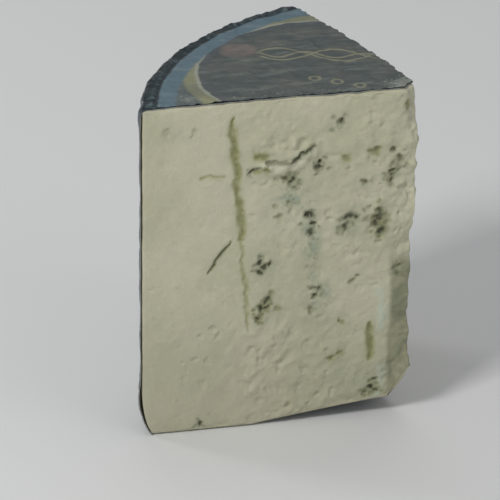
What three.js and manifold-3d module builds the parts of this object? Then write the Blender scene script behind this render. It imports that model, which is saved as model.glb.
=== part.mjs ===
// A wedge of foil-wrapped blue cheese, standing on its base.
// The paste is one solid. The foil wraps the wheel's top, rim and underside, and a round
// printed label lies on top. Millimetres, +Z up, origin at the middle of the base.
import * as THREE from 'three';
import { mergeVertices } from 'three/addons/utils/BufferGeometryUtils.js';
import Module from 'manifold-3d';

// Driving dimensions of the wheel that the wedge was cut from
const wheelRadius = 100;
const wheelHeight = 122.8; // at the rim
const topDome = 2.5; // the top rises this much towards the middle
const baseDish = { radius: 62, depth: 9 }; // the underside is hollow towards the middle
const topEdgeRound = 2.5; // where the rim turns into the top
const lowEdgeRound = { across: 5, up: 18 }; // the rim sags in towards the base
const turnSteps = 120; // facets in a full turn of the wheel
const edgeSteps = 6; // facets in each rounded edge
const domeSteps = 4; // rings across the domed top

// The wedge: the front cut runs along X, the second cut turns back from the tip
const wedgeAngle = THREE.MathUtils.degToRad(69.3);
const tip = new THREE.Vector2(-4, 11.5); // the sharp corner, from the wheel's axis
const bluntTip = { front: 6, back: 3 }; // worn off along each cut
const backCutBulge = 1.5; // the second cut bows out this much half way
const cutSteps = 8; // facets along the bowed cut
const frontFallBack = 5.5; // the front cut runs back this far at the foot of the tip
const reach = 2 * wheelRadius; // past the rim, for the cutting outlines

// Skins, and the gap kept between one piece and the next
const foilThickness = 0.5;
const labelThickness = 0.3;
const labelRadius = 94.5;
const gap = 0.3;
const foilTipTrim = 3; // the foil ends this far short of the paste's tip

// The broken lower corner of the tip: how far back it starts on the base, and how high it ends
const brokenCorner = { back: 13.6, up: 22.5 };
const foilCornerTrim = 1.5; // the foil ends this much before the break

const wasm = await Module();
wasm.setup();

const finishes = {
  paste: new THREE.MeshStandardMaterial({ color: 0xa8a590, roughness: 0.6, metalness: 0 }),
  foil: new THREE.MeshStandardMaterial({ color: 0x434e4f, roughness: 0.4, metalness: 0.6 }),
  label: new THREE.MeshStandardMaterial({ color: 0x5c6b71, roughness: 0.45, metalness: 0.1 }),
};

// A closed geometry as a solid for cutting and joining
function toSolid(geometry) {
  const bare = geometry.clone();
  bare.deleteAttribute('normal');
  bare.deleteAttribute('uv');
  const merged = mergeVertices(bare, 1e-4);
  return new wasm.Manifold(new wasm.Mesh({
    numProp: 3,
    vertProperties: new Float32Array(merged.attributes.position.array),
    triVerts: new Uint32Array(merged.index.array),
  }));
}

// A solid as a named mesh
function toMesh(name, solid, material) {
  const { vertProperties, triVerts } = solid.getMesh();
  const geometry = new THREE.BufferGeometry();
  geometry.setAttribute('position', new THREE.BufferAttribute(vertProperties, 3));
  geometry.setIndex(new THREE.BufferAttribute(triVerts, 1));
  geometry.computeVertexNormals();
  const mesh = new THREE.Mesh(geometry, material);
  mesh.name = name;
  return mesh;
}

// A half section turned once round the wheel's axis, which is +Z
function turned(points) {
  return toSolid(new THREE.LatheGeometry(points, turnSteps).rotateX(Math.PI / 2));
}

// A quarter ellipse from one angle to the next, in quarter turns, about a centre
function quarter(centreX, centreY, across, up, start) {
  const curve = new THREE.EllipseCurve(
    centreX, centreY, across, up, start * Math.PI / 2, (start + 1) * Math.PI / 2,
  );
  return curve.getPoints(edgeSteps);
}

// The domed top from one radius in to the axis, at a height above the wheel's own top
function domedTop(radius, lift) {
  const points = [];
  for (let step = 0; step <= domeSteps; step += 1) {
    const across = radius * (1 - step / domeSteps);
    const dome = topDome * (1 - (across / radius) ** 2);
    points.push(new THREE.Vector2(across, wheelHeight + lift + dome));
  }
  return points;
}

// The whole wheel, drawn in from the foil's outer face by an inset
function wheel(inset) {
  const low = lowEdgeRound;
  const flatTop = wheelRadius - topEdgeRound;
  return turned([
    new THREE.Vector2(0, baseDish.depth + inset),
    new THREE.Vector2(baseDish.radius, inset),
    ...quarter(wheelRadius - low.across, low.up, low.across - inset, low.up - inset, 3),
    ...quarter(
      flatTop, wheelHeight - topEdgeRound, topEdgeRound - inset, topEdgeRound - inset, 0,
    ).slice(0, -1),
    ...domedTop(flatTop, -inset),
  ]);
}

// The upright block between the two cuts, with its tip drawn back by a trim
function sector(trim) {
  const front = new THREE.Vector2(-1, 0);
  const back = new THREE.Vector2(-Math.cos(wedgeAngle), Math.sin(wedgeAngle));
  const backOut = new THREE.Vector2(back.y, -back.x);
  const along = (direction, distance) => tip.clone().addScaledVector(direction, distance);
  const bowStart = along(back, bluntTip.back + trim);
  const bowEnd = along(back, wheelRadius);
  const bowPull = along(back, wheelRadius / 2).addScaledVector(backOut, 2 * backCutBulge);
  const bow = new THREE.QuadraticBezierCurve(bowStart, bowPull, bowEnd);
  const outline = new THREE.Shape([
    along(front, bluntTip.front + trim),
    ...bow.getPoints(cutSteps),
    along(back, reach),
    along(front, reach).addScaledVector(back, reach),
    along(front, reach),
  ]);
  const block = new THREE.ExtrudeGeometry(outline, { depth: 2 * reach, bevelEnabled: false });
  return toSolid(block.translate(0, 0, -reach));
}

// The block in front of a plane through the rim's foot, the tip's top and a point behind
// the tip's foot. Cutting with it lets the lower front face run back towards the tip.
function frontFall() {
  const rimFoot = new THREE.Vector3(-wheelRadius, tip.y, 0);
  const tipFoot = new THREE.Vector3(tip.x, tip.y + frontFallBack, 0);
  const tipTop = new THREE.Vector3(tip.x, tip.y, wheelHeight);
  const plane = new THREE.Plane().setFromCoplanarPoints(rimFoot, tipTop, tipFoot);
  const outward = plane.normal.y > 0 ? plane.normal.clone().negate() : plane.normal.clone();
  const block = new THREE.BoxGeometry(4 * reach, 4 * reach, reach).translate(0, 0, reach / 2);
  const turn = new THREE.Quaternion().setFromUnitVectors(new THREE.Vector3(0, 0, 1), outward);
  block.applyQuaternion(turn);
  return toSolid(block.translate(rimFoot.x, rimFoot.y, rimFoot.z));
}

// The block under a plane that climbs towards the tip. It starts on the base at a distance
// from the tip, and ends at a height on the tip's edge.
function brokenOff(back, up) {
  const block = new THREE.BoxGeometry(4 * reach, 4 * reach, reach).translate(0, 0, -reach / 2);
  block.rotateY(-Math.atan2(up, back));
  block.translate(-back, 0, 0);
  block.rotateZ(-wedgeAngle / 2);
  return toSolid(block.translate(tip.x, tip.y, 0));
}

function makePaste() {
  return wheel(foilThickness + gap)
    .intersect(sector(0))
    .subtract(frontFall())
    .subtract(brokenOff(brokenCorner.back, brokenCorner.up));
}

function makeFoil() {
  return wheel(0)
    .subtract(wheel(foilThickness))
    .intersect(sector(foilTipTrim))
    .subtract(frontFall())
    .subtract(brokenOff(brokenCorner.back + foilCornerTrim, brokenCorner.up));
}

function makeLabel() {
  const flatTop = wheelRadius - topEdgeRound;
  const edgeDome = topDome * (1 - (labelRadius / flatTop) ** 2);
  const inner = domedTop(flatTop, gap).filter((point) => point.x < labelRadius);
  const low = [new THREE.Vector2(labelRadius, wheelHeight + gap + edgeDome), ...inner];
  const high = low.map((point) => new THREE.Vector2(point.x, point.y + labelThickness));
  return turned([...low.reverse(), ...high]).intersect(sector(foilTipTrim));
}

const wedge = new THREE.Group();
wedge.add(
  toMesh('cheese_paste', makePaste(), finishes.paste),
  toMesh('foil_wrap', makeFoil(), finishes.foil),
  toMesh('top_label', makeLabel(), finishes.label),
);

// Put the origin at the middle of the base
const box = new THREE.Box3().setFromObject(wedge);
const middle = box.getCenter(new THREE.Vector3());
wedge.position.set(-middle.x, -middle.y, -box.min.z);

export default wedge;
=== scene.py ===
import math

import bpy
import numpy as np
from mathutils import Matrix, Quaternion, Vector


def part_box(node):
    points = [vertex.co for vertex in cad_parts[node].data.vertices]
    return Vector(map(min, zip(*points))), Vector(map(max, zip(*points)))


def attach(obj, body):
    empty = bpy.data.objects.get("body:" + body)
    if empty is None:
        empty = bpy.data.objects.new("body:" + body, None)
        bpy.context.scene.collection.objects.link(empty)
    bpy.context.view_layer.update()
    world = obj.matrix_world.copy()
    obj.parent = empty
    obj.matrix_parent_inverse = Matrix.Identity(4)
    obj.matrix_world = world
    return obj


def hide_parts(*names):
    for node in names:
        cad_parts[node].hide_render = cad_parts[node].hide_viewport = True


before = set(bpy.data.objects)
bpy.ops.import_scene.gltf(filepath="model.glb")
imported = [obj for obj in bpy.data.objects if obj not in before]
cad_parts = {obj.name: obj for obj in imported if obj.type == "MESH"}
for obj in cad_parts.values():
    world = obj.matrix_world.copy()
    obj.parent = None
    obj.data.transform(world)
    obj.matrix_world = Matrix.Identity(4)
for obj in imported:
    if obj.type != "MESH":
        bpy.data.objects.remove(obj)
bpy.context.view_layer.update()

# ----------------------------------------------------------------------
# Camera. A long lens looks down on the front cut from a little to the left of square.
# It aims a little below the middle of the wedge.
CAMERA_AZIMUTH = math.radians(-9.5)
CAMERA_ELEVATION = math.radians(25.7)
CAMERA_ROLL = math.radians(0.55)
CAMERA_DISTANCE = 1.74
CAMERA_AIM = Vector((-0.003, -0.0025, 0.0498))

camera_data = bpy.data.cameras.new("camera")
camera_data.sensor_width = 36
camera_data.lens = 360
camera = bpy.data.objects.new("camera", camera_data)
bpy.context.scene.collection.objects.link(camera)
camera_back = Vector((
    math.sin(CAMERA_AZIMUTH) * math.cos(CAMERA_ELEVATION),
    -math.cos(CAMERA_AZIMUTH) * math.cos(CAMERA_ELEVATION),
    math.sin(CAMERA_ELEVATION),
))
camera.location = CAMERA_AIM + camera_back * CAMERA_DISTANCE
camera.rotation_mode = "QUATERNION"
camera_turn = Quaternion((0, 0, 1), CAMERA_ROLL)
camera.rotation_quaternion = (-camera_back).to_track_quat("-Z", "Y") @ camera_turn
bpy.context.scene.camera = camera

# ----------------------------------------------------------------------
# Floor and light. A plain pale floor, a soft light high on the left, weaker ones on the right,
# above and behind, and a pale sky. Colours are shown as they are, with no film curve.
bpy.context.scene.view_settings.view_transform = "Standard"


def linear(red, green, blue):
    """A screen colour, 0 to 255, as the linear red, green, blue and alpha that a shader takes."""
    screen = np.array([red, green, blue]) / 255
    low = screen / 12.92
    high = ((screen + 0.055) / 1.055) ** 2.4
    return (*np.where(screen <= 0.04045, low, high).tolist(), 1.0)


class Wire:
    """A node's output. Sums, differences, products and powers of wires add Math nodes."""

    def __init__(self, finish, socket):
        self.finish = finish
        self.socket = socket

    def math(self, operation, first, second=0.0):
        return self.finish.node("Math", {"operation": operation}, {0: first, 1: second})

    def __add__(self, other):
        return self.math("ADD", self, other)

    def __sub__(self, other):
        return self.math("SUBTRACT", self, other)

    def __rsub__(self, other):
        return self.math("SUBTRACT", other, self)

    def __mul__(self, other):
        return self.math("MULTIPLY", self, other)

    def __pow__(self, other):
        return self.math("POWER", self, other)

    def __abs__(self):
        return self.math("ABSOLUTE", self)

    __radd__ = __add__
    __rmul__ = __mul__


class Finish:
    """One material. node() adds a node of any type: settings first, then values or wires."""

    def __init__(self, name):
        self.material = bpy.data.materials.new(name)
        self.material.use_nodes = True
        self.tree = self.material.node_tree
        self.tree.nodes.clear()

    def node(self, kind, settings=None, inputs=None, output=0):
        made = self.tree.nodes.new("ShaderNode" + kind)
        for name, value in (settings or {}).items():
            setattr(made, name, value)
        for name, value in (inputs or {}).items():
            if isinstance(value, Wire):
                self.tree.links.new(value.socket, made.inputs[name])
            else:
                made.inputs[name].default_value = value
        return Wire(self, made.outputs[output])

    def step(self, value, low, high):
        """A smooth step from 0 at low to 1 at high."""
        return self.node(
            "MapRange",
            {"interpolation_type": "SMOOTHSTEP"},
            {"Value": value, "From Min": low, "From Max": high},
        )

    def blend(self, part, first, second):
        """Two colours mixed, all of the second where part is 1."""
        settings = {"data_type": "RGBA", "clamp_factor": True}
        return self.node("Mix", settings, {0: part, 6: first, 7: second}, output=2)

    def coats(self, colour, *coats):
        """A colour with others laid over it in turn, each all there where its part is 1."""
        for part, coat in coats:
            colour = self.blend(part, colour, coat)
        return colour

    def bump(self, height, strength):
        """A normal bent by a height, of which 1 stands for 0.6 mm."""
        inputs = {"Strength": strength, "Distance": 0.0006, "Height": height}
        return self.node("Bump", None, inputs)

    def cells(self, vector, scale, feature="F1"):
        """Voronoi cells, at scale cells a metre."""
        return self.node("TexVoronoi", {"feature": feature}, {"Vector": vector, "Scale": scale})

    def noise(self, vector, scale, detail=2.0, roughness=0.5):
        """Fractal noise from 0 to 1, at scale features a metre."""
        inputs = {"Vector": vector, "Scale": scale, "Detail": detail, "Roughness": roughness}
        return self.node("TexNoise", None, inputs)

    def mark(self, name):
        """A number stored on the piece's own points."""
        return self.node("Attribute", {"attribute_name": name}, output=2)

    def surface(self, inputs):
        """Ends the material with one shader."""
        shader = self.node("BsdfPrincipled", None, inputs)
        output = self.tree.nodes.new("ShaderNodeOutputMaterial")
        self.tree.links.new(shader.socket, output.inputs["Surface"])
        return self.material


def area_light(name, place, aim, size, power):
    """A square light of a size, at a place, turned to face an aim."""
    data = bpy.data.lights.new(name, "AREA")
    data.size = size
    data.energy = power
    lamp = bpy.data.objects.new(name, data)
    bpy.context.scene.collection.objects.link(lamp)
    lamp.location = place
    lamp.rotation_mode = "QUATERNION"
    lamp.rotation_quaternion = (Vector(aim) - Vector(place)).to_track_quat("-Z", "Y")


area_light("key_light", (-0.9, -0.75, 1.15), (0, 0, 0.09), 0.38, 12.2)
area_light("fill_light", (0.9, -0.9, 0.5), (0, 0, 0.06), 0.9, 2.6)
area_light("top_light", (0.1, 0.6, 1.3), (0, 0, 0.06), 0.9, 3)
area_light("rim_light", (-1.2, 0.8, 0.5), (0, 0, 0.06), 0.35, 5)

sky = bpy.data.worlds.new("sky")
sky.use_nodes = True
sky.node_tree.nodes["Background"].inputs["Color"].default_value = (0.9, 0.94, 1.0, 1)
sky.node_tree.nodes["Background"].inputs["Strength"].default_value = 0.26
bpy.context.scene.world = sky

floor_mesh = bpy.data.meshes.new("floor")
FLOOR_HALF = 3.0
floor_corners = [
    (FLOOR_HALF * x, FLOOR_HALF * y, 0) for x, y in ((-1, -1), (1, -1), (1, 1), (-1, 1))
]
floor_mesh.from_pydata(floor_corners, [], [(0, 1, 2, 3)])
floor = bpy.data.objects.new("floor", floor_mesh)
bpy.context.scene.collection.objects.link(floor)
floor_finish = Finish("pale_floor")
floor_mesh.materials.append(
    floor_finish.surface({"Base Color": linear(222, 222, 220), "Roughness": 0.8})
)

# ----------------------------------------------------------------------
# The cheese itself: one solid of moist, crumbly paste, cut from a drum-shaped wheel by two
# wire cuts. Blue-green mould lines its openings and the olive tracks of the piercing needles,
# and its thin tip is worn ragged and broken off at the foot. All lengths are millimetres
# from the wheel's axis.
MM = 0.001
WHEEL_RADIUS = 100.0
RIM_TOP = 122.8
TOP_DOME = 2.5
TOP_ROUND = 2.5
LOW_ROUND_ACROSS = 5.0
LOW_ROUND_UP = 18.0
DISH_RADIUS = 62.0
DISH_DEPTH = 9.0
SKIN = 0.45
TIP = np.array([-4.0, 11.5])
WEDGE_ANGLE = math.radians(69.3)
BACK = np.array([-math.cos(WEDGE_ANGLE), math.sin(WEDGE_ANGLE)])
BACK_OUT = np.array([BACK[1], -BACK[0]])
# The wedge's middle line, towards the tip, and the direction across it
TIPWARD = np.array([math.cos(WEDGE_ANGLE / 2), -math.sin(WEDGE_ANGLE / 2)])
ACROSS = np.array([-TIPWARD[1], TIPWARD[0]])
CUT_BULGE = 1.5
FRONT_FALL = 5.5
BREAK_BACK = 13.6
BREAK_UP = 22.5

foil_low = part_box("foil_wrap")[0]
front_reach = math.sqrt(WHEEL_RADIUS**2 - TIP[1] ** 2)
AXIS = np.array([foil_low.x + front_reach * MM, foil_low.y - TIP[1] * MM, 0.0])


def smooth(value, low, high):
    """A smooth step: 0 up to low, 1 from high, and a cubic between them."""
    part = np.clip((value - low) / (high - low), 0, 1)
    return part * part * (3 - 2 * part)


def bell(distance, radius):
    """A bell that is 1 at no distance and falls to about a third at the radius."""
    return np.exp(-((distance / radius) ** 2))


def corner_numbers(corner, seed):
    """A number from 0 to 1 for each whole-number lattice corner, by mixing its digits."""
    mixed = corner @ np.array([374761393, 668265263, 2147483629]) + seed * 974634777
    mixed = mixed & 0xFFFFFFFF
    mixed = ((mixed ^ (mixed >> 13)) * 1274126177) & 0xFFFFFFFF
    return ((mixed ^ (mixed >> 16)) & 0xFFFFFF) / 0xFFFFFF


CORNERS = np.array([(i, j, k) for i in (0, 1) for j in (0, 1) for k in (0, 1)])


def noise(points, cell, seed):
    """Smooth random field from -1 to 1. Every corner of a lattice with that cell size has a
    random number, and a point blends its eight corners by a cubic in each direction."""
    place = points / cell
    base = np.floor(place).astype(np.int64)
    part = place - base
    part = part * part * (3 - 2 * part)
    total = np.zeros(points.shape[:-1])
    for corner in CORNERS:
        weight = np.prod(np.where(corner == 1, part, 1 - part), axis=-1)
        total += weight * corner_numbers(base + corner, seed)
    return total * 2 - 1


def rough(points, cell, seed, octaves=3):
    """Noise at a cell size plus ever smaller copies, each half as large and half as strong."""
    return sum(
        noise(points, cell / 2**octave, seed + octave) / 2**octave for octave in range(octaves)
    )


def mark_distance(across, up, line):
    """Distance from each place to a line through points, and how far along it the foot lies,
    from 0 to 1. Each stretch is tried in turn and the nearest is kept. A line of one point is
    a dot, and every place counts as half way along it."""
    line = np.array(line, float)
    if len(line) == 1:
        return np.hypot(across - line[0, 0], up - line[0, 1]), np.full(across.shape, 0.5)
    nearest = np.full(across.shape, 1e9)
    share = np.zeros(across.shape)
    for index, (start, end) in enumerate(zip(line[:-1], line[1:])):
        run = end - start
        part = ((across - start[0]) * run[0] + (up - start[1]) * run[1]) / (run @ run)
        part = np.clip(part, 0, 1)
        away = np.hypot(across - start[0] - part * run[0], up - start[1] - part * run[1])
        closer = away < nearest
        nearest = np.where(closer, away, nearest)
        share = np.where(closer, (index + part) / (len(line) - 1), share)
    return nearest, share


def front_fall(x, z):
    """How far the front cut lies behind its own upright plane: nothing above the line from
    the rim's foot to the tip's top, and growing evenly to the foot of the tip."""
    slope_x = FRONT_FALL / (WHEEL_RADIUS + TIP[0])
    slope_z = FRONT_FALL / RIM_TOP
    behind = slope_x * (x + WHEEL_RADIUS) - slope_z * z
    return 0.5 * (behind + np.sqrt(behind**2 + 0.3)) - 0.1


def cut_bow(along):
    """How far the second cut bows out: a parabola over the first hundred millimetres."""
    part = np.clip(along / WHEEL_RADIUS, 0, 1)
    return 4 * CUT_BULGE * part * (1 - part)


def back_cut(along):
    """Plan points on the second cut at distances from the tip."""
    along = np.asarray(along, float)[..., None]
    return TIP + BACK * along + BACK_OUT * cut_bow(along)


def along_back(radius):
    """Distance from the tip at which the second cut reaches a radius from the axis."""
    middle = TIP @ BACK
    return -middle + np.sqrt(radius**2 - TIP @ TIP + middle**2)


def top_height(x, y, inset):
    """Height of the domed top under the foil, a parabola of the radius."""
    return RIM_TOP - inset + TOP_DOME * (1 - (np.hypot(x, y) / (WHEEL_RADIUS - TOP_ROUND)) ** 2)


def foot_height(x, y, inset):
    """Height of the dished underside, a shallow cone over the middle of the wheel."""
    return inset + DISH_DEPTH * np.maximum(0, 1 - np.hypot(x, y) / DISH_RADIUS)


def break_height(x, y):
    """Height of the broken lower corner of the tip, a slope that climbs towards the tip."""
    back = (TIP[0] - x) * TIPWARD[0] + (TIP[1] - y) * TIPWARD[1]
    return BREAK_UP * (1 - back / BREAK_BACK)


def paste_foot(x, y):
    """Height of the paste's foot: the dished underside, or the broken corner where higher."""
    return np.maximum(foot_height(x, y, SKIN), break_height(x, y))


def rim_radius(z, inset):
    """Radius of the rim at a height: full, then drawn in by a quarter ellipse at the foot."""
    drop = np.clip((LOW_ROUND_UP - z) / (LOW_ROUND_UP - inset), 0, 1)
    reach = (LOW_ROUND_ACROSS - inset) * np.sqrt(1 - drop**2)
    return WHEEL_RADIUS - LOW_ROUND_ACROSS + reach


# The tip's edge stands proud between two heights, with a chip below: height, half height, depth
PROUD_FROM = 62
PROUD_TO = 106
PROUD_BY = 1.6
TIP_CHIP = (58, 3, 1.5)
FRONT_STEPS = 198
TIP_STEPS = 18
BACK_STEPS = 110
RIM_STEPS = 18
WALL_STEPS = 244
EDGE_ROUND = 1.0
EDGE_STEPS = 4
FOOT_RINGS = (0.12, 0.3, 0.48, 0.62, 0.74, 0.83, 0.9, 0.95, 0.98)
TOP_RINGS = (0.98, 0.9, 0.75, 0.5, 0.25)


def tip_wear(z):
    """How much of the tip's edge is worn away at each height: noise and the chip, less what
    stands proud."""
    above = smooth(z, PROUD_FROM - 2, PROUD_FROM + 3)
    proud = PROUD_BY * above * smooth(z, PROUD_TO + 5, PROUD_TO - 5)
    height, half, deep = TIP_CHIP
    up = np.stack([0 * z, 0 * z, z], -1)
    return 0.3 + 0.9 * noise(up, 8, 19) - proud + deep * bell(z - height, half)


def shares(count):
    """Even shares of a path, from 0 up to the last one before 1."""
    return np.linspace(0, 1, count, endpoint=False)


def plan_outline(z):
    """The wedge's outline at each height: along the front cut from the rim, over the blunt
    tip, back along the second cut and home round the rim. z has one row per height, and the
    result one row of plan points per height."""
    z = z[:, None]
    wear = tip_wear(z)
    front_wear = 4.6 + 3.4 * smooth(z, 66, 58) + 0.4 * wear
    back_wear = 3.2 + 1.2 * wear
    radius = rim_radius(z, SKIN)
    part = shares(FRONT_STEPS)[None, :]
    start = -np.sqrt(radius**2 - TIP[1] ** 2)
    end = TIP[0] - front_wear
    front_x = start + (end - start) * part
    front = np.stack([front_x, TIP[1] + front_fall(front_x, z)], -1)
    part = shares(TIP_STEPS)[None, :, None]
    tip_start = np.stack([end, TIP[1] + front_fall(end, z)], -1)
    tip_end = back_cut(back_wear)
    blunt = tip_start + (tip_end - tip_start) * part
    part = shares(BACK_STEPS)[None, :]
    reach = along_back(radius)
    back = back_cut(back_wear + (reach - back_wear) * (0.85 * part + 0.15 * part**2))
    part = shares(RIM_STEPS)[None, :]
    part = part**3 * (10 - 15 * part + 6 * part**2)
    rim_start = back_cut(reach)
    first = np.arctan2(rim_start[..., 1], rim_start[..., 0])
    last = math.pi - np.arcsin(TIP[1] / radius)
    turn = first + (last - first) * part
    far = np.hypot(rim_start[..., 0], rim_start[..., 1])
    far = far + (radius - far) * part
    rim = np.stack([far * np.cos(turn), far * np.sin(turn)], -1)
    outline = np.concatenate([front, blunt, back, rim], axis=1)
    corners = np.cumsum([0, FRONT_STEPS, TIP_STEPS, BACK_STEPS])
    place = np.arange(outline.shape[1])
    apart = np.abs(place[None, :] - corners[:, None])
    apart = np.minimum(apart, outline.shape[1] - apart).min(0)
    soften = 0.5 * bell(apart, 2.5)[None, :, None]
    for _ in range(6):
        middle = 0.5 * (np.roll(outline, 1, axis=1) + np.roll(outline, -1, axis=1))
        outline = outline + soften * (middle - outline)
    return outline


def paste_surface():
    """The paste's skin as rows from the middle of the foot, out over the underside, up the wall
    and in to the middle of the top. Each row is one closed outline. Returns the rows, which of
    them are wall, and the middle."""
    centre = np.array([-52.0, 45.0])
    wall = np.linspace(0, 1, WALL_STEPS)
    outline = plan_outline(SKIN + EDGE_ROUND + wall * (RIM_TOP - 2 * SKIN - 2 * EDGE_ROUND))
    x, y = np.moveaxis(outline, -1, 0)
    foot = paste_foot(x, y)
    top = top_height(x, y, SKIN)
    rise = foot + EDGE_ROUND + (top - foot - 2 * EDGE_ROUND) * wall[:, None]
    rows = [np.concatenate([outline, rise[..., None]], axis=-1)]

    def drawn_in(base, inset):
        away = base - centre
        return centre + away * (1 - inset / np.linalg.norm(away, axis=-1, keepdims=True))

    def capped(plan, height):
        return np.concatenate([plan, height[:, None]], axis=-1)[None]

    low, high = outline[0], outline[-1]
    for angle in np.linspace(math.pi / 2, 0, EDGE_STEPS + 1)[1:]:
        inset = EDGE_ROUND * (1 - math.sin(angle))
        rise = EDGE_ROUND * (1 - math.cos(angle))
        plan = drawn_in(low, inset)
        rows.insert(0, capped(plan, paste_foot(*plan.T) + rise))
        plan = drawn_in(high, inset)
        rows.append(capped(plan, top_height(*plan.T, SKIN) - rise))
    low, high = drawn_in(low, EDGE_ROUND), drawn_in(high, EDGE_ROUND)
    for scale in reversed(FOOT_RINGS):
        plan = centre + (low - centre) * scale
        rows.insert(0, capped(plan, paste_foot(*plan.T)))
    for scale in TOP_RINGS:
        plan = centre + (high - centre) * scale
        rows.append(capped(plan, top_height(*plan.T, SKIN)))
    grid = np.concatenate(rows, axis=0)
    is_wall = np.zeros(grid.shape[:2])
    first_wall = len(FOOT_RINGS) + EDGE_STEPS
    is_wall[first_wall:first_wall + WALL_STEPS] = 1
    return grid, is_wall, centre


def unit(vectors):
    """Vectors of length 1 that point the same way."""
    return vectors / np.maximum(np.linalg.norm(vectors, axis=-1, keepdims=True), 1e-9)


def outward(grid):
    """Unit normals of a grid whose columns close on themselves: the cross product of the
    differences along the columns and along the rows."""
    along = np.roll(grid, -1, axis=1) - np.roll(grid, 1, axis=1)
    upward = np.gradient(grid, axis=0)
    return unit(np.cross(along, upward))


# The crack above the torn ledge runs level, then climbs towards the tip from a bend
LEDGE_UP = 101
LEDGE_BEND = 44
LEDGE_CLIMB = 0.7
LEDGE_ENDS = (53, 36)
# The hollow above the crack and the patch of smears: distance from the tip, height, half sizes
LEDGE_HOLLOW = (46, 107, 9, 4.6)
DRAG_PATCH = (44, 24, 24, 18)


def crack_height(across):
    """Height of the ledge's crack at a distance from the tip."""
    return LEDGE_UP + LEDGE_CLIMB * np.maximum(LEDGE_BEND - across, 0)


# The long needle track runs straight, wider and olive in its upper part. Each place on a cut is
# a distance from the tip and a height.
NEEDLE_IN = (64, 118)
NEEDLE_STOP = (58, 38)
WIDE_SHARE = 0.56
NEEDLE_WAIST = tuple(a + WIDE_SHARE * (b - a) for a, b in zip(NEEDLE_IN, NEEDLE_STOP))
# Tracks and cracks of the front cut, each straight but for the noise that warps it: its ends,
# half width, depth, how dark its mould is and how olive its stain
FRONT_TRACKS = [
    ([NEEDLE_IN, NEEDLE_WAIST], 0.95, 0.7, 0.35, 1.0),
    ([NEEDLE_WAIST, NEEDLE_STOP], 0.5, 0.4, 0.25, 0.6),
    ([(15, 36), (15, 23)], 0.8, 0.7, 0.4, 1.0),
    ([(72, 61), (64, 72)], 0.45, 1.1, 0.65, 0.8),
    ([(75, 96), (67, 97)], 0.5, 0.4, 0.1, 0.7),
    ([(58, 97), (55, 99)], 0.5, 0.9, 0.8, 0.1),
] + [
    ([(start, crack_height(start)), (end, crack_height(end))], half_width, 1.3, dark, 0.3)
    for start, end, half_width, dark in (
        (LEDGE_ENDS[0], LEDGE_BEND, 0.45, 0.65), (LEDGE_BEND, LEDGE_ENDS[1], 0.6, 0.85),
    )
]
# Clusters of openings on the front cut: distance from the tip, height, half sizes across and
# up, how many openings, how dark and how olive
FRONT_CLUSTERS = [
    (54, 101, 2, 3, 6, 0.4, 1.0),
    (44, 94, 3, 2, 3, 0.85, 0.4),
    (34, 98, 1, 3, 3, 1.0, 0.2),
    (28, 113, 1, 1, 1, 0.9, 0.1),
    (24, 102, 2, 1, 2, 0.35, 0.7),
    (7, 96, 2, 7, 5, 0.8, 0.4),
    (6, 118, 2, 2, 2, 0.4, 0.8),
    (37, 77, 1, 4, 5, 1.0, 0.0),
    (23, 76, 2, 3, 5, 0.9, 0.1),
    (13, 77, 2, 5, 6, 0.85, 0.8),
    (48, 81, 4, 5, 3, 0.5, 0.3),
    (52, 62, 3, 2, 4, 1.0, 0.1),
    (53, 45, 3, 4, 6, 0.9, 0.9),
    (34, 49, 2, 5, 4, 0.75, 0.1),
    (21, 54, 4, 1, 2, 0.5, 0.3),
    (6, 55, 1, 4, 3, 0.85, 0.1),
    (27, 24, 2, 2, 2, 0.4, 0.9),
    (15, 12, 3, 3, 4, 0.8, 0.6),
    (74, 2, 1, 1, 1, 0.9, 0.0),
    (76, 30, 9, 15, 8, 0.2, 0.0),
    (82, 114, 7, 2, 4, 0.3, 0.1),
    (15, 103, 1, 1, 2, 0.5, 0.9),
    (18, 91, 1, 1, 1, 0.8, 0.1),
    (25, 38, 1, 1, 1, 0.7, 0.7),
]
# Blue-green bloom that lies wider: distance from the tip, height, two half sizes, strength
FRONT_BLOOMS = [
    (37, 66, 4, 26, 1.0), (7, 50, 5, 16, 0.4), (7, 90, 4, 16, 0.35), (8, 22, 7, 14, 0.5),
    (33, 48, 6, 8, 0.8), (20, 14, 9, 8, 0.7), (43, 88, 7, 8, 1.0),
]


def openings(clusters, seed):
    """Short openings drawn with a fixed seed for each cluster, as a group round its middle,
    and one bloom over each group. Returns marks like the tracks, and the blooms."""
    marks, blooms = [], []
    for index, (across, up, wide, tall, count, dark, green) in enumerate(clusters):
        draw = np.random.default_rng(seed + index)
        blooms.append((across, up, wide + 3, tall + 3, 0.6 * dark))
        for _ in range(count):
            start = np.array([across, up]) + draw.uniform(-1, 1, 2) * (wide, tall)
            turn = 2 * math.pi * draw.random()
            length = 0.3 + 1.7 * draw.random()
            end = start + length * np.array([math.cos(turn), math.sin(turn)])
            half_width = 0.65 + 0.75 * draw.random()
            deep = (0.25 + 0.75 * dark) * (0.7 + 1.1 * draw.random())
            darkness = dark * (0.75 + 0.25 * draw.random())
            marks.append(([start, end], half_width, deep, darkness, green))
    return marks, blooms


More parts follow.
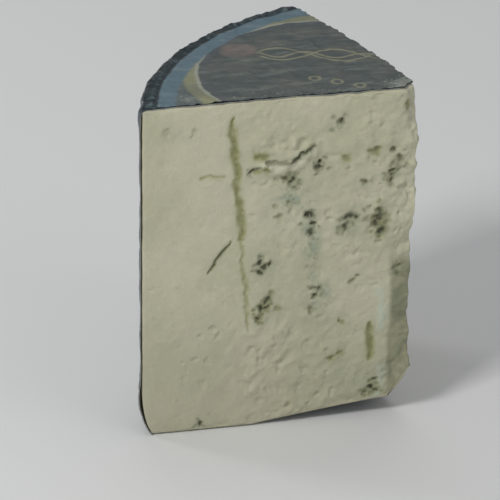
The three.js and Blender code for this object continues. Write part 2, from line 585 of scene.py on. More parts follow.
def back_marks():
    """The marks and blooms of the second cut. Its clusters are not listed but drawn with a
    fixed seed: crowded towards the tip and rarer near the rim."""
    draw = np.random.default_rng(11)
    clusters = []
    for _ in range(30):
        across = 6 + 66 * draw.random() ** 1.4
        up = 10 + 102 * draw.random()
        wide, tall = 1 + 3 * draw.random(2)
        dark = 0.4 + 0.6 * draw.random()
        green = 0.8 * draw.random() ** 2
        clusters.append((across, up, wide, tall, draw.integers(1, 6), dark, green))
    marks, blooms = openings(clusters, 12)
    tracks = [
        ([(31, 113), (30, 74)], 0.8, 0.7, 0.35, 1.0),
        ([(30, 75), (31, 58)], 0.5, 0.4, 0.25, 0.5),
        ([(54, 70), (54, 24)], 0.75, 0.6, 0.35, 1.0),
        ([(66, 92), (60, 95), (50, 97)], 0.4, 1.2, 0.55, 0.4),
    ]
    return tracks + marks, blooms


def with_crumbs(marks, seed):
    """The marks, and beside each dark one a few smaller, fainter dots."""
    draw = np.random.default_rng(seed)
    for line, half_width, deep, dark, green in marks:
        yield line, half_width, deep, dark, green
        for _ in range(3 if dark > 0.65 else 0):
            angle = 2 * math.pi * draw.random()
            away = half_width * (1.3 + 1.5 * draw.random())
            share = 0.4 + 0.3 * draw.random()
            centre = np.array(line[draw.integers(len(line))])
            dot = centre + away * np.array([math.cos(angle), math.sin(angle)])
            yield [dot], max(0.5, half_width * share), 0.6 * deep * share, 0.75 * dark, green


def marked(points, across, up, facing, marks, blooms, seed):
    """Depth and stains that marks and blooms leave on one cut face. Noise warps a mark's
    outline. Its depth has steep sides, its mould falls evenly to nothing at 2.6 half widths,
    and its bloom is a bell that spreads further. Returns depth, mould, olive and bloom."""
    depth, mould, olive, bloom = (np.zeros(across.shape) for _ in range(4))
    warp_across = across + 0.7 * noise(points, 3.6, seed) + 0.4 * noise(points, 1.3, seed + 1)
    warp_up = up + 0.7 * noise(points, 3.6, seed + 2) + 0.4 * noise(points, 1.3, seed + 3)
    swell = 1 + 0.3 * noise(points, 4.5, seed + 4)
    for line, half_width, deep, dark, green in with_crumbs(marks, seed):
        near, share = mark_distance(warp_across, warp_up, line)
        taper = smooth(share, -0.05, 0.15) * smooth(share, 1.05, 0.85)
        near = near / (half_width * swell * (0.6 + 0.4 * taper))
        depth = np.maximum(depth, 0.75 * deep * smooth(near, 1.5, 0.3))
        mould = np.maximum(mould, dark * np.clip(1 - near / 2.6, 0, 1))
        olive = np.maximum(olive, green * smooth(near, 2.6, 0.2))
        bloom = np.maximum(bloom, 0.7 * dark * bell(near, 3.0))
    for from_tip, height, wide, tall, strength in blooms:
        near = np.hypot((warp_across - from_tip) / wide, (warp_up - height) / tall)
        bloom = np.maximum(bloom, strength * smooth(near, 1.4, 0.2))
    return depth * facing, mould * facing, olive * facing, bloom * facing


def level(first, second):
    """Points on a plane, from two arrays of places."""
    return np.stack([first, second, 0 * first], -1)


def patch(across, up, middle, height, wide, tall):
    """A bell over an oval patch: 1 at its middle, about a third at its half sizes."""
    return bell(np.hypot((across - middle) / wide, (up - height) / tall), 1.0)


def torn_ledge(points, across, up):
    """The torn place high on the front cut: a crumbly hollow above a crack, and a ledge of
    smeared paste that stands out sharply below the crack and sinks away under a ragged lip.
    A height in millimetres."""
    ragged = rough(points, 3.6, 71)
    crack = crack_height(across + 0.8 * noise(points, 3.0, 73))
    below = crack - up
    rim_end, tip_end = LEDGE_ENDS
    along = smooth(across, tip_end - 3, tip_end + 1) * smooth(across, rim_end + 4, rim_end - 1)
    ledge = smooth(below, -0.5, 0.4) * smooth(below + 1.6 * ragged, 7.0, 1.5) * along
    under = bell(below + 1.6 * ragged - 7.2, 1.2)
    under *= smooth(across, tip_end + 4, tip_end + 9) * smooth(across, rim_end + 7, rim_end + 4)
    hollow = patch(across, up, *LEDGE_HOLLOW)
    return (
        -1.1 * hollow * (0.6 + 1.1 * ragged) + ledge * (1.1 + 0.8 * rough(points, 2.4, 74))
        - 0.5 * under
    )


# How steeply the wire's smears climb towards the tip
DRAG_ANGLE = math.radians(50)


def knife_drag(points, across, up):
    """Slanting smears low on the front cut, where the wire dragged: folded noise stretched
    along the drag, fading away from its middle."""
    along_drag = math.sin(DRAG_ANGLE) * up - math.cos(DRAG_ANGLE) * across
    cross_drag = math.sin(DRAG_ANGLE) * across + math.cos(DRAG_ANGLE) * up
    ridges = 1 - 2 * np.abs(noise(level(cross_drag, 0.3 * along_drag), 3.4, 81))
    return patch(across, up, *DRAG_PATCH) * (0.28 * ridges + 0.26 * noise(points, 3.0, 83))


paste_grid, on_wall, paste_centre = paste_surface()
paste_normal = outward(paste_grid)
x, y, z = np.moveaxis(paste_grid, -1, 0)
from_tip_front = TIP[0] - x
from_tip_back = (x - TIP[0]) * BACK[0] + (y - TIP[1]) * BACK[1]
faces_front = on_wall * smooth(-paste_normal[..., 1], 0.3, 0.6)
faces_back = on_wall * smooth(paste_normal[..., :2] @ BACK_OUT, 0.7, 0.9)
faces_cut = np.maximum(faces_front, faces_back)
near_tip = on_wall * smooth(np.hypot(x - TIP[0], y - TIP[1]), 14, 7)
tip_low = on_wall * smooth(z, PROUD_FROM + 4, PROUD_FROM - 6)
# Painted shade on the lower part of the tip's end, reaching this far along the front cut
TIP_SHADE_REACH = 7.5
PALE_BAND_AT = 11.5
tip_shade_place = from_tip_front + 0.8 * noise(paste_grid, 6, 34)
tip_painted_shade = tip_low * smooth(tip_shade_place, TIP_SHADE_REACH + 2, TIP_SHADE_REACH) * smooth(from_tip_back, 12, 7)
band_centre = PALE_BAND_AT + 0.8 * noise(paste_grid, 9, 35)
pale_band = tip_low * faces_front * bell(from_tip_front - band_centre, 1.8)

front_openings, opening_blooms = openings(FRONT_CLUSTERS, 5)
front_depth, front_mould, front_olive, front_bloom = marked(
    paste_grid, from_tip_front, z, faces_front,
    FRONT_TRACKS + front_openings, FRONT_BLOOMS + opening_blooms, 31,
)
back_depth, back_mould, back_olive, back_bloom = marked(
    paste_grid, from_tip_back, z, faces_back, *back_marks(), 47,
)
open_depth = np.maximum(front_depth, back_depth)
mould_mark = np.maximum(front_mould, back_mould)
olive_mark = np.maximum(front_olive, back_olive)
bloom_mark = np.maximum(np.maximum(front_bloom, back_bloom), 0.3 * near_tip)

inward_share = np.where(faces_front > 0.5, from_tip_front, from_tip_back)
calm = smooth(rough(paste_grid, 19, 27, 2) + 0.5 * bell(z - 62, 28), -0.1, 0.75)
crumbly = smooth(inward_share, 72, 52) * (1 - 0.72 * calm)
relief = 0.35 * noise(paste_grid, 26, 1) + 0.22 * noise(paste_grid, 9, 2)
relief += 0.16 * rough(paste_grid, 6, 33) + 0.05 * rough(paste_grid, 2, 36)
relief += (0.08 + 0.36 * crumbly) * rough(paste_grid, 4.6, 3)
relief -= (0.15 + crumbly) * 0.7 * smooth(rough(paste_grid, 3.4, 7), 0.4, 1.1)
relief += crumbly * 0.5 * smooth(rough(paste_grid, 4.4, 21), 0.4, 1.1)
relief -= 0.3 * smooth(noise(paste_grid, 1.6, 9), 0.72, 0.95)
relief += knife_drag(paste_grid, from_tip_front, z) * faces_front
ledge = torn_ledge(paste_grid, from_tip_front, z) * faces_front
relief += ledge
relief += 0.16 * bloom_mark * rough(paste_grid, 2.4, 25)
low_edge = smooth(z - foot_height(x, y, SKIN), 4.5, 0.5)
high_edge = smooth(top_height(x, y, SKIN) - z, 3.5, 0.5)
relief -= low_edge * 0.4 * (0.5 + rough(paste_grid, 3.4, 15))
relief -= high_edge * 0.35 * (0.4 + rough(paste_grid, 2.6, 16))
relief *= faces_cut
relief += near_tip * (0.5 * rough(paste_grid, 5.5, 12) + 0.25 * noise(paste_grid, 1.8, 13))
broken = smooth(break_height(x, y) - foot_height(x, y, SKIN), -1.5, 1.0) * smooth(z, 26, 20)
relief += broken * 0.6 * rough(paste_grid, 4.0, 17)
paste_points = paste_grid + paste_normal * (relief - open_depth)[..., None]
paste_points[..., 2] = np.maximum(paste_points[..., 2], SKIN)


def closed_skin(grid, low_pole, high_pole):
    """Points and faces of a closed skin: a grid whose columns meet round the back, and a fan
    of triangles from each pole to the first and the last row."""
    rows, columns = grid.shape[:2]
    points = np.concatenate([grid.reshape(-1, 3), [low_pole, high_pole]])
    row, column = np.meshgrid(np.arange(rows - 1), np.arange(columns), indexing="ij")
    following = (column + 1) % columns
    quads = np.stack([
        row * columns + column,
        row * columns + following,
        (row + 1) * columns + following,
        (row + 1) * columns + column,
    ], -1).reshape(-1, 4)
    around = np.arange(columns)
    after = (around + 1) % columns
    low_fan = np.stack([np.full(columns, rows * columns), after, around], -1)
    last = (rows - 1) * columns
    high_fan = np.stack([np.full(columns, rows * columns + 1), last + around, last + after], -1)
    return points, quads.tolist() + low_fan.tolist() + high_fan.tolist()


def make_piece(name, points, faces, material, marks, sharp_angle=None):
    """A smooth-shaded object from points in millimetres round the wheel's axis. marks holds
    one number per point for each name."""
    mesh = bpy.data.meshes.new(name)
    mesh.from_pydata((points * MM + AXIS).tolist(), [], faces)
    for mark_name, numbers in marks.items():
        mark = mesh.attributes.new(mark_name, "FLOAT", "POINT")
        mark.data.foreach_set("value", numbers.astype(np.float32).ravel())
    mesh.polygons.foreach_set("use_smooth", np.ones(len(mesh.polygons), bool))
    if sharp_angle is not None:
        mesh.set_sharp_from_angle(angle=sharp_angle)
    mesh.materials.append(material)
    piece = bpy.data.objects.new(name, mesh)
    bpy.context.scene.collection.objects.link(piece)
    return piece


CREAM_PALE = linear(199, 195, 169)
CREAM_DEEP = linear(189, 186, 158)
# Pale cream for random flecks, and also a painted highlight on the raised ledge
CREAM_FLECK_AND_HIGHLIGHT = linear(208, 204, 182)
BLOOM = linear(150, 161, 139)
OLIVE = linear(132, 131, 62)
# Painted shade, laid towards the foot and into the openings
PAINTED_SHADE = linear(150, 147, 122)
# The colour of the painted shade low on the tip
TIP_SHADE = linear(122, 120, 92)
PALE_BLUE = linear(196, 206, 190)
MOULD_GREY = linear(122, 125, 98)
MOULD_DARK = linear(72, 73, 50)
# Painted shade darkens the paste towards the foot, up to this height in metres
FOOT_SHADE_TOP = 0.06


def paste_material():
    """Cream paste with painted shade towards the foot and in the openings, and a painted
    highlight on the raised ledge. It has olive tracks, a grey-green bloom, painted shade low on
    the tip with a pale band beside it, and mould from grey to nearly black. Noise breaks up every
    edge. Fine grain is a bump."""
    finish = Finish("blue_cheese_paste")
    place = finish.node("TexCoord", output=3)
    cloud = finish.noise(place, 32, 3)
    fleck = finish.noise(place, 420, 4, 0.6)
    smear = finish.noise(place, 170, 4, 0.55)
    grain = finish.noise(place, 1500, 3, 0.6)
    mould = finish.mark("mould")
    olive = finish.mark("olive")
    bloom = finish.mark("bloom")
    hollow = finish.mark("hollow")
    up = finish.node("SeparateXYZ", None, {0: place}, output=2)
    foot_painted_shade = 1 - finish.step(up, 0.0, FOOT_SHADE_TOP)
    patchy = finish.step(smear, 0.38, 0.62)
    ragged = mould + 0.5 * (fleck - 0.5) + 0.2 * (grain - 0.5)
    colour = finish.coats(
        finish.blend(finish.step(cloud, 0.35, 0.65), CREAM_PALE, CREAM_DEEP),
        (0.4 * finish.step(fleck, 0.5, 0.72), CREAM_FLECK_AND_HIGHLIGHT),
        # painted shade towards the foot
        (0.32 * foot_painted_shade, PAINTED_SHADE),
        # a painted highlight on the raised ledge, by its height
        (0.7 * finish.mark("ledge_highlight"), CREAM_FLECK_AND_HIGHLIGHT),
        (0.6 * finish.mark("pale_band") * patchy, PALE_BLUE),
        # painted shade low on the tip
        (finish.mark("tip_painted_shade") * (0.6 + 0.4 * patchy), TIP_SHADE),
        (bloom * (0.2 + 0.6 * patchy), BLOOM),
        (0.5 * bloom * finish.step(fleck, 0.53, 0.66), MOULD_GREY),
        (olive * (0.55 + 0.35 * finish.step(fleck, 0.35, 0.6)), OLIVE),
        # painted shade in the openings, darker where they are deeper
        (0.6 * finish.step(hollow, 0.1, 0.9), PAINTED_SHADE),
        (0.6 * finish.step(ragged, 0.12, 0.55), MOULD_GREY),
        (0.95 * finish.step(ragged, 0.5, 0.78), MOULD_DARK),
    )
    height = 0.5 * smear + 0.4 * fleck + 0.3 * grain
    return finish.surface({
        "Base Color": colour,
        "Roughness": 0.48 + 0.2 * fleck,
        "Subsurface Weight": 0.1,
        "Subsurface Radius": (0.9, 0.75, 0.5),
        "Subsurface Scale": 0.002,
        "Normal": finish.bump(height, 0.6),
    })


skin_points, skin_faces = closed_skin(
    paste_points,
    (*paste_centre, float(foot_height(*paste_centre, SKIN))),
    (*paste_centre, float(top_height(*paste_centre, SKIN))),
)
# A number for every point of the grid, and nothing at the two poles
paste_marks = {
    "mould": mould_mark,
    "olive": olive_mark,
    "bloom": bloom_mark,
    # the openings' depth, which paints shade into them
    "hollow": open_depth / 2,
    # where shade is painted low on the tip
    "tip_painted_shade": tip_painted_shade,
    "pale_band": pale_band,
    # the ledge's height, which paints a highlight on it
    "ledge_highlight": np.clip(ledge, 0, 1),
}
paste_marks = {
    name: np.append(numbers.ravel(), [0, 0]) for name, numbers in paste_marks.items()
}
paste = make_piece("cheese_paste_skin", skin_points, skin_faces, paste_material(), paste_marks)
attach(paste, "root")
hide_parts("cheese_paste")

# ----------------------------------------------------------------------
# The wrapping foil: one dark blue-grey sheet over the wheel's top, down the rim and under the
# foot, cut through with the cheese. Hands pleated it over both edges of the rim, it is
# crinkled all over, and near the lower corner of the front cut it curls away.
FOIL_THICKNESS = 0.3
FOIL_COLUMNS = 156
FOIL_TOP_ROWS = 60
FOIL_EDGE_ROWS = 7
FOIL_RIM_ROWS = 112
FOIL_LOW_ROWS = 18
FOIL_FOOT_ROWS = 44
FOIL_TIP_TRIM = 1.0
FOIL_BREAK_TRIM = 17.0
FOOT_RECESS = 1.4
CLEAR_OF_PASTE = -0.05
FOIL_ACROSS = 118
FOIL_COLUMN_WIDTH = 0.77
PLEATS_FROM = 94.4


def across_wedge(front_radius, back_radius, height, columns, front_recess, back_recess):
    """Plan points across the wedge, one row per pair of radii: from the front cut to the
    second cut, radius and angle both changing evenly. The recesses hold each end back from
    its cut."""
    front_x = -np.sqrt(front_radius**2 - TIP[1] ** 2)
    for _ in range(3):
        front_y = TIP[1] + front_fall(front_x, height) + front_recess
        front_x = -np.sqrt(front_radius**2 - front_y**2)
    back = back_cut(along_back(back_radius)) - BACK_OUT * back_recess[:, None]
    part = np.linspace(0, 1, columns)[None, :]
    first = np.arctan2(front_y, front_x)[:, None]
    last = np.arctan2(back[:, 1], back[:, 0])[:, None]
    turn = first + (last - first) * part
    start = np.hypot(front_x, front_y)[:, None]
    end = np.hypot(back[:, 0], back[:, 1])[:, None]
    radius = start + (end - start) * part
    return np.stack([radius * np.cos(turn), radius * np.sin(turn)], -1)


def tip_radii(trim):
    """Distances from the axis of the two ends of a skin's tip edge, on each cut."""
    front = np.hypot(TIP[0] - trim[0], TIP[1])
    back = np.linalg.norm(back_cut(trim[1]))
    return front, back


def along_rows(rows, cell, seed):
    """Noise along one edge, a number for each row a millimetre or so apart."""
    return rough(level(np.arange(rows) * 1.1, np.zeros(rows)), cell, seed)


def torn_tip(grid):
    """Moves a sheet's first row, its tip edge, in and out by noise, and the next five rows less
    and less. Foil and label were cut together, so they share one tear, a function of the place
    across the tip alone."""
    follow = np.clip(1 - np.arange(grid.shape[0]) / 6, 0, 1)[:, None, None]
    across = np.array([*ACROSS, 0])
    tear = 0.5 * rough((grid[0] @ across)[:, None] * across, 2.6, 63)
    return grid + follow * tear[None, :, None] * np.array([*TIPWARD, 0])


def foil_surface():
    """The foil's outer face as rows from the tip over the top, round the edge, down the rim,
    round the foot and under to the tip again. Returns the rows, each row's path length, and
    where each row lies: 0 on the top, 1 on the rim, 2 on the foot."""
    flat = WHEEL_RADIUS - TOP_ROUND
    low = WHEEL_RADIUS - LOW_ROUND_ACROSS
    top_front, top_back = tip_radii((4.6 + FOIL_TIP_TRIM, 5.0 + FOIL_TIP_TRIM))
    part = shares(FOIL_TOP_ROWS)
    front = top_front + (flat - top_front) * part
    back = top_back + (flat - top_back) * part
    angle = np.linspace(math.pi / 2, 0, FOIL_EDGE_ROWS, endpoint=False)
    edge = flat + TOP_ROUND * np.cos(angle)
    edge_height = RIM_TOP - TOP_ROUND + TOP_ROUND * np.sin(angle)
    rim_height = np.linspace(RIM_TOP - TOP_ROUND, LOW_ROUND_UP, FOIL_RIM_ROWS, endpoint=False)
    angle = np.linspace(0, math.pi / 2, FOIL_LOW_ROWS, endpoint=False)
    low_edge_radius = low + LOW_ROUND_ACROSS * np.cos(angle)
    low_edge_height = LOW_ROUND_UP * (1 - np.sin(angle))
    foot_front, foot_back = tip_radii((FOIL_BREAK_TRIM, FOIL_BREAK_TRIM))
    part = np.linspace(0, 1, FOIL_FOOT_ROWS)
    shared = np.concatenate([edge, np.full(FOIL_RIM_ROWS, WHEEL_RADIUS), low_edge_radius])
    front = np.concatenate([front, shared, low + (foot_front - low) * part])
    back = np.concatenate([back, shared, low + (foot_back - low) * part])
    height = np.concatenate([
        np.full(FOIL_TOP_ROWS, RIM_TOP), edge_height, rim_height, low_edge_height,
        np.zeros(FOIL_FOOT_ROWS),
    ])
    kind = np.repeat([0, 1, 2], [FOIL_TOP_ROWS, len(shared), FOIL_FOOT_ROWS])
    tucked = np.concatenate([np.zeros(FOIL_TOP_ROWS + len(shared)), smooth(part, -0.04, 0.12)])
    front_recess = 0.2 + 0.4 * along_rows(len(kind), 3.4, 61) + FOOT_RECESS * tucked
    back_recess = 0.2 + 0.4 * along_rows(len(kind), 3.4, 62) + FOOT_RECESS * tucked
    plan = across_wedge(front, back, height, FOIL_COLUMNS, front_recess, back_recess)
    x, y = np.moveaxis(plan, -1, 0)
    kind = kind[:, None]
    rise = np.where(kind == 0, top_height(x, y, 0), height[:, None])
    rise = np.where(kind == 2, foot_height(x, y, 0), rise)
    grid = np.concatenate([plan, rise[..., None]], -1)
    middle = grid[:, FOIL_COLUMNS // 2]
    path = np.concatenate([[0], np.cumsum(np.linalg.norm(np.diff(middle, axis=0), axis=-1))])
    return grid, path, kind


def sheet_normal(grid):
    """Unit normals of an open grid, from the differences along its columns and rows."""
    return unit(np.cross(np.gradient(grid, axis=1), np.gradient(grid, axis=0)))


def top_wrinkle(x, y):
    """Height of the wrinkles that the label and the foil under it share: long folds towards
    the tip, and shorter crumples across them."""
    flat = level(x, y)
    along_fold = TIPWARD[0] * x + TIPWARD[1] * y
    cross_fold = ACROSS[0] * x + ACROSS[1] * y
    long_fold = 1 - np.abs(noise(level(0.35 * along_fold, cross_fold), 9, 91))
    crumple = 1 - np.abs(noise(flat, 6, 94))
    return 0.34 * long_fold**4 + 0.26 * crumple**3 + 0.14 * rough(flat, 5, 93)


def knots(across, along, cell, seed):
    """Distance to the nearest of random knots, one in each square cell, as a share of the
    cell. The distance has sharp crests half way between knots, like crumpled foil."""
    place = np.stack([across / cell, along / cell], -1)
    base = np.floor(place).astype(np.int64)
    nearest = np.full(across.shape, 9.0)
    for step in [(i, j) for i in (-1, 0, 1) for j in (-1, 0, 1)]:
        corner = base + np.array(step)
        corner = np.concatenate([corner, np.zeros(corner.shape[:-1] + (1,), np.int64)], -1)
        knot = np.stack([corner_numbers(corner, seed), corner_numbers(corner, seed + 1)], -1)
        away = np.linalg.norm(corner[..., :2] + knot - place, axis=-1)
        nearest = np.minimum(nearest, away)
    return nearest


def crinkles(grid, path, kind):
    """How far the foil stands out from the wheel: crumples with sharp crests in two sizes,
    long soft dents, and close pleats that run over both edges of the rim."""
    x, y, z = np.moveaxis(grid, -1, 0)
    around = np.arctan2(y, x) * WHEEL_RADIUS
    along = np.broadcast_to(path[:, None], around.shape)
    flat = level(around, along)
    warp = 2.0 * noise(flat, 9, 50)
    large = knots(around + warp, along - warp, 13, 51)
    small = knots(around - warp, along + warp, 5.5, 53)
    dent = noise(flat, 24, 55)
    radius = np.hypot(x, y)
    near_top_edge = smooth(z, RIM_TOP - 24, RIM_TOP - 4)
    near_top_edge *= smooth(radius, PLEATS_FROM, PLEATS_FROM + 1.6)
    near_low_edge = smooth(z, 30, 8) * smooth(radius, 70, 88)
    pleat = (1 - np.abs(noise(level(around, 0.12 * along), 2.8, 54))) ** 2
    pleats = np.maximum(near_top_edge, near_low_edge) * pleat
    out = 0.8 * large + 0.6 * small + 0.2 * dent + 0.5 * pleats - 0.5
    out = np.maximum(out, CLEAR_OF_PASTE)
    return np.where(kind == 0, out * smooth(radius, PLEATS_FROM, PLEATS_FROM + 1.1), out)


def two_sided(outer, inner):
    """Points and faces of a thin closed sheet: its outer grid, its inner grid facing the other
    way, and a strip of faces round the border that joins them."""
    rows, columns = outer.shape[:2]
    count = rows * columns
    points = np.concatenate([outer.reshape(-1, 3), inner.reshape(-1, 3)])
    row, column = np.meshgrid(np.arange(rows - 1), np.arange(columns - 1), indexing="ij")
    corner = row * columns + column
    quads = np.stack([corner, corner + 1, corner + columns + 1, corner + columns], -1)
    quads = quads.reshape(-1, 4)
    border = np.concatenate([
        np.arange(columns),
        np.arange(1, rows) * columns + columns - 1,
        (rows - 1) * columns + np.arange(columns - 2, -1, -1),
        np.arange(rows - 2, 0, -1) * columns,
    ])
    following = np.roll(border, -1)
    strip = np.stack([following, border, border + count, following + count], -1)
    return points, quads.tolist() + (quads[:, ::-1] + count).tolist() + strip.tolist()


foil_grid, foil_path, foil_kind = foil_surface()
foil_normal = sheet_normal(foil_grid)
foil_x, foil_y, foil_z = np.moveaxis(foil_grid, -1, 0)
foil_out = crinkles(foil_grid, foil_path, foil_kind)
foil_out = foil_out + (foil_kind == 0) * top_wrinkle(foil_x, foil_y) - 0.05
foil_out = np.where(foil_kind == 2, -0.25 * np.abs(foil_out), foil_out)
from_front_cut = np.linspace(0, FOIL_ACROSS, FOIL_COLUMNS)[None, :]
curl = (foil_kind == 1) * bell(foil_z - 13, 6) * smooth(from_front_cut, 1.8, 0)
column = np.arange(FOIL_COLUMNS)[None, :]
from_cut = np.minimum(column, column[:, ::-1]) * FOIL_COLUMN_WIDTH
foil_out = foil_out * (0.35 + 0.65 * smooth(from_cut, 0, 5)) + 0.8 * curl
foil_out = foil_out * np.where(foil_kind == 1, smooth(foil_z, -2, 8), 1)
foil_outer = foil_grid + foil_normal * foil_out[..., None]
foil_outer[..., 2] = np.maximum(foil_outer[..., 2], 0)
foil_inner = foil_outer - foil_normal * FOIL_THICKNESS
foil_outer = torn_tip(foil_outer)
foil_inner = torn_tip(foil_inner)
foil_points, foil_faces = two_sided(foil_outer, foil_inner)

FOIL_DARK = linear(48, 60, 63)
# Lighter blue-grey for the noise mottle, and also a painted highlight on the raised crinkles
FOIL_MOTTLE_AND_HIGHLIGHT = linear(76, 90, 93)
# A painted glint on the highest creases
FOIL_GLINT = linear(160, 168, 168)
FOIL_INNER = linear(196, 197, 192)


def foil_material():
    """Dark blue-grey lacquered aluminium foil, mottled by noise, with a painted highlight on its
    raised crinkles and painted glints on the highest creases. The inner side is bare and silvery."""
    finish = Finish("wrapping_foil")
    place = finish.node("TexCoord", output=3)
    cloud = finish.noise(place, 60, 3)
    scuff = finish.noise(place, 700, 4, 0.65)
    crumple = finish.cells(place, 330)
    crease = finish.cells(place, 150, "DISTANCE_TO_EDGE")
    crest = finish.mark("crest")
    # Painted glints where the crinkles rise highest
    crest_glint = finish.step(crest + 0.6 * (scuff - 0.5), 0.5, 1.0)
    colour = finish.coats(
        FOIL_DARK,
        # mottle by noise, and a painted highlight on the raised crinkles
        (0.4 * cloud + 0.6 * finish.step(crest, 0.0, 0.7), FOIL_MOTTLE_AND_HIGHLIGHT),
        # painted glints on the highest creases
        (0.2 * crest_glint, FOIL_GLINT),
        (finish.mark("inner"), FOIL_INNER),
    )
    height = crumple + 1.2 * finish.step(crease, 0.0, 0.25) + 0.3 * scuff
    return finish.surface({
        "Base Color": colour,
        "Metallic": 0.85,
        "Roughness": 0.24 + 0.16 * scuff,
        "Normal": finish.bump(height, 0.3),
    })


foil_marks = {
    "crest": np.concatenate([foil_out, 0 * foil_out]),
    "inner": np.concatenate([0 * foil_out, 0 * foil_out + 1]),
}
SHEET_SHARP = math.radians(50)
foil = make_piece(
    "foil_wrap_sheet", foil_points, foil_faces, foil_material(), foil_marks, SHEET_SHARP,
)
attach(foil, "root")
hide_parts("foil_wrap")

# ----------------------------------------------------------------------
# The label: a round printed sheet stuck on top of the foil, cut through with the cheese. It
# has a pale blue band round its edge. Inside it lies a slate disc set off centre with a
# yellow-green ring round it, and on the disc a plain pink seal, gold waves and small rings.
LABEL_RADIUS = 94.5
LABEL_THICKNESS = 0.25
LABEL_COLUMNS = 150
LABEL_ROWS = 120
LABEL_LIFT = 0.3


def label_surface():
    """The label's upper face as rows from its tip edge out to its round edge. It lies on the
    foil, and shares its wrinkles."""
    front_start, back_start = tip_radii((4.7 + FOIL_TIP_TRIM, 5.1 + FOIL_TIP_TRIM))
    part = np.linspace(0, 1, LABEL_ROWS)
    front = front_start + (LABEL_RADIUS - front_start) * part
    back = back_start + (LABEL_RADIUS - back_start) * part
    front_recess = 0.3 + 0.5 * along_rows(LABEL_ROWS, 3.0, 65)
    back_recess = 0.3 + 0.5 * along_rows(LABEL_ROWS, 3.0, 66)
    height = np.full(LABEL_ROWS, RIM_TOP)
    plan = across_wedge(front, back, height, LABEL_COLUMNS, front_recess, back_recess)
    x, y = np.moveaxis(plan, -1, 0)
    rise = top_height(x, y, 0) + top_wrinkle(x, y) + LABEL_LIFT
    return torn_tip(np.concatenate([plan, rise[..., None]], -1))


label_outer = label_surface()
label_inner = label_outer - np.array([0, 0, LABEL_THICKNESS])
label_points, label_faces = two_sided(label_outer, label_inner)

DISC_CENTRE = (-32.0, 31.0)
DISC_RADIUS = 44.5
RING_RADIUS = 49.8
BAND_INNER = 88.0
SEAL_CENTRE = (-59.5, 54.0)
SEAL_RADIUS = 6.5
WAVE_START = (-55.0, 49.5)
WAVE_FALL = 0.24
WAVES = [(5.6, 0.165, 0.0), (-5.6, 0.165, 0.0), (2.4, 0.33, 2.0)]
RINGS = 3
RING_FIRST = (-38, 24)
RING_STEP = (7, -4)
FIELD_SLATE = linear(68, 77, 74)
FIELD_BROWN = linear(82, 86, 81)
GAP_GREY = linear(86, 94, 92)
RING_GREEN = linear(132, 132, 100)
PALE_LINE = linear(150, 152, 140)
PURPLE_LINE = linear(80, 78, 98)
BAND_BLUE = linear(86, 108, 118)
EDGE_DARK = linear(40, 50, 54)
SEAL_PINK = linear(120, 104, 98)
GOLD = linear(146, 142, 112)
# Pale paper where the ink is worn, and also the painted sheen on the wrinkles
WORN_PAPER_AND_SHEEN = linear(160, 164, 152)


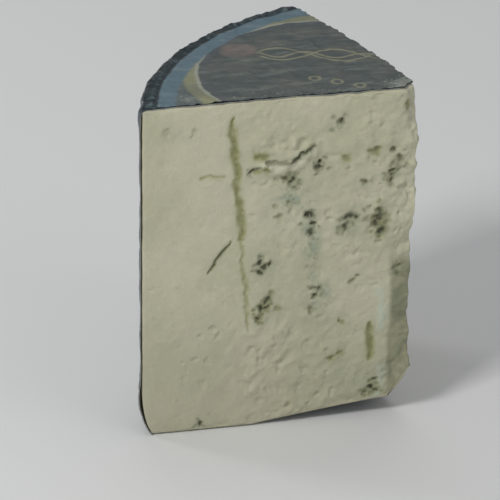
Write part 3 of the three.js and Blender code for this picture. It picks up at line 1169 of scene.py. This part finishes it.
def label_material():
    """Print on a satin label, in millimetres round the wheel's axis: the band by radius, the
    disc, seal and rings by distance from their own centres, and waves as sines about a falling
    line. The ink is mottled, and worn off in specks, most of all at the tip. Pale streaks are a
    painted sheen on the label's wrinkles."""
    finish = Finish("printed_label")
    place = finish.node("TexCoord", output=3)
    to_axis = {"Location": tuple(-AXIS / MM), "Scale": (1 / MM,) * 3}
    print_place = finish.node("Mapping", None, {"Vector": place, **to_axis})
    px, py = (finish.node("SeparateXYZ", None, {0: print_place}, output=i) for i in (0, 1))
    cloud = finish.noise(place, 110, 4, 0.6)
    speck = finish.noise(place, 900, 4, 0.65)
    crumple = finish.cells(place, 260)

    def distance_from(x0, y0):
        return ((px - x0) ** 2.0 + (py - y0) ** 2.0) ** 0.5

    def line(value, middle, half_width):
        return 1 - finish.step(abs(value - middle), half_width, half_width + 0.5)

    radius = distance_from(0, 0) + 1.4 * (cloud - 0.5)
    disc = distance_from(*DISC_CENTRE) + 1.4 * (cloud - 0.5)
    mottle = finish.step(cloud, 0.4, 0.62)
    fold_place = finish.node(
        "Mapping", None, {"Vector": place, "Rotation": (0, 0, 0.6), "Scale": (1, 4, 1)},
    )
    # Pale streaks that paint the sheen on the label's wrinkles
    wrinkle_sheen = finish.step(finish.noise(fold_place, 90, 4, 0.6), 0.5, 0.7)
    outside_disc = finish.step(disc, DISC_RADIUS - 0.7, DISC_RADIUS + 0.7)
    ring = outside_disc * (1 - finish.step(disc, RING_RADIUS - 0.8, RING_RADIUS + 1.0))
    seal = 1 - finish.step(distance_from(*SEAL_CENTRE), SEAL_RADIUS - 1.5, SEAL_RADIUS + 1.0)
    colour = finish.coats(
        FIELD_SLATE,
        (mottle, FIELD_BROWN),
        (0.25 * line(disc, DISC_RADIUS - 2.0, 0.5), PURPLE_LINE),
        (outside_disc, GAP_GREY),
        (ring * (0.6 + 0.35 * mottle), RING_GREEN),
        (0.7 * line(disc, DISC_RADIUS + 0.4, 0.4), PALE_LINE),
        (finish.step(radius, BAND_INNER - 0.8, BAND_INNER + 0.8), BAND_BLUE),
        (finish.step(radius, LABEL_RADIUS - 0.8, LABEL_RADIUS - 0.4), EDGE_DARK),
        (0.75 * seal * (0.6 + 0.4 * mottle), SEAL_PINK),
    )
    along = px - WAVE_START[0]
    middle_line = WAVE_START[1] - along * WAVE_FALL
    shown = finish.step(along, 0, 4) * finish.step(along, 44, 36)
    for swing, turn, phase in WAVES:
        wave = finish.node("Math", {"operation": "SINE"}, {0: along * turn + phase})
        stroke = line(py - middle_line, wave * swing, 0.4) * shown
        colour = finish.blend(0.65 * stroke, colour, GOLD)
    for index in range(RINGS):
        x0, y0 = (first + index * step for first, step in zip(RING_FIRST, RING_STEP))
        colour = finish.blend(0.55 * line(distance_from(x0, y0), 1.8, 0.3), colour, GOLD)
    near_tip = 1 - finish.step(distance_from(*TIP), 5, 14)
    near_cut = 1 - finish.step(py, 14, 26)
    worn = finish.step(speck + 0.3 * near_tip + 0.1 * near_cut, 0.66, 0.8)
    # worn ink, then a painted sheen on the wrinkles
    colour = finish.coats(colour, (0.5 * worn, WORN_PAPER_AND_SHEEN), (0.2 * wrinkle_sheen, WORN_PAPER_AND_SHEEN))
    height = 0.7 * crumple + 0.4 * cloud + 0.2 * speck
    return finish.surface({
        "Base Color": colour,
        "Roughness": 0.34 + 0.2 * speck,
        "Normal": finish.bump(height, 0.5),
    })


label = make_piece(
    "top_label_sheet", label_points, label_faces, label_material(), {}, SHEET_SHARP,
)
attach(label, "root")
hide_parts("top_label")
